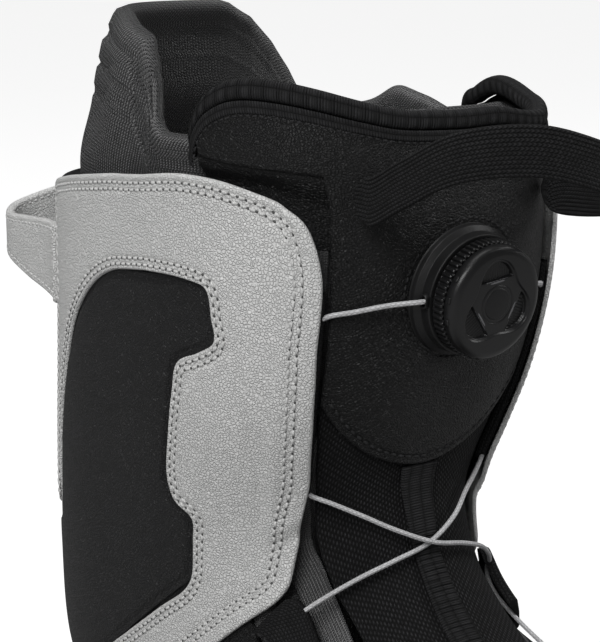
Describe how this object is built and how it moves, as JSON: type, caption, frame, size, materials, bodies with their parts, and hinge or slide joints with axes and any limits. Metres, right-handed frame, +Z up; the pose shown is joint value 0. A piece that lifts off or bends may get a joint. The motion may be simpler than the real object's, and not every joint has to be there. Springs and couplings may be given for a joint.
{
  "type": "snowboard boot",
  "caption": "Lace-dial snowboard boot with white leather cuffs, black tongue with a pop-out turning dial, padded liner and pull loops",
  "frame": {"origin": "middle of the sole's contact face, on the ground", "axes": "+Z up; the toe points to -Y and the heel to +Y; the lateral side of this right boot is -X"},
  "size_m": [0.1324, 0.3312, 0.298],
  "materials": {
    "rubber": "matt, moulded",
    "foam": "matt moulded foam",
    "board": "fibre board",
    "black_leather": "grained synthetic leather",
    "white_leather": "grained synthetic leather",
    "knit": "ribbed knit",
    "mesh": "open mesh",
    "webbing": "woven webbing",
    "plastic": "satin moulded plastic",
    "metal": "satin",
    "cord": "braided"
  },
  "bodies": {
    "shell": {"outsole": "rubber", "midsole": "foam", "insole_board": "board", "vamp": "black_leather", "toe_cap": "rubber", "shell_lining": "knit", "heel_counter": "board", "backstay": "knit", "lateral_quarter": "black_leather", "lateral_cuff": "white_leather", "lateral_inset": "black_leather", "lateral_edge_guide": "webbing", "lateral_instep_guide": "webbing", "lateral_toe_guide": "webbing", "lateral_gusset": "mesh", "medial_quarter": "black_leather", "medial_cuff": "white_leather", "medial_inset": "black_leather", "medial_edge_guide": "webbing", "medial_instep_guide": "webbing", "medial_toe_guide": "webbing", "medial_gusset": "mesh", "rear_loop": "white_leather", "liner_shell": "knit", "liner_tongue": "knit", "footbed": "foam", "lace": "cord"},
    "tongue": {"tongue_pad": "mesh", "tongue_shield": "black_leather", "tongue_binding": "webbing", "tongue_web": "webbing", "dial_base": "plastic"},
    "dial_spool": {"dial_spool": "plastic"},
    "dial_drive": {"dial_pawl_ring": "plastic", "dial_axle": "metal"},
    "dial_knob": {"knob_body": "plastic", "knob_grip": "rubber", "knob_cap": "plastic", "knob_disc": "plastic"},
    "front_loop": {"front_loop": "webbing"}
  },
  "joints": [
    {"name": "tongue_open", "type": "hinge", "parent": "shell", "child": "tongue", "pos_m": [0, -0.054, 0.092], "axis": [1, 0, 0], "range_deg": [0, 8], "deforming": ["lace", "lateral_gusset", "medial_gusset"]},
    {"name": "dial_turn", "type": "hinge", "parent": "tongue", "child": "dial_drive", "pos_m": [0, -0.02961, 0.21877], "axis": [0, -0.9905, -0.1379], "continuous": true},
    {"name": "dial_pop", "type": "slide", "parent": "dial_drive", "child": "dial_knob", "axis": [0, -0.9905, -0.1379], "range_m": [0, 0.0025]},
    {"name": "spool_turn", "type": "hinge", "parent": "tongue", "child": "dial_spool", "pos_m": [0, -0.02961, 0.21877], "axis": [0, -0.9905, -0.1379], "continuous": true},
    {"name": "front_loop_swing", "type": "hinge", "parent": "tongue", "child": "front_loop", "pos_m": [0, -0.031, 0.2465], "axis": [0.9991, 0, -0.0416], "range_deg": [-30, 10]}
  ],
  "couplings": [
    {"joint": "spool_turn", "follows": "dial_turn", "ratio": 1}
  ]
}
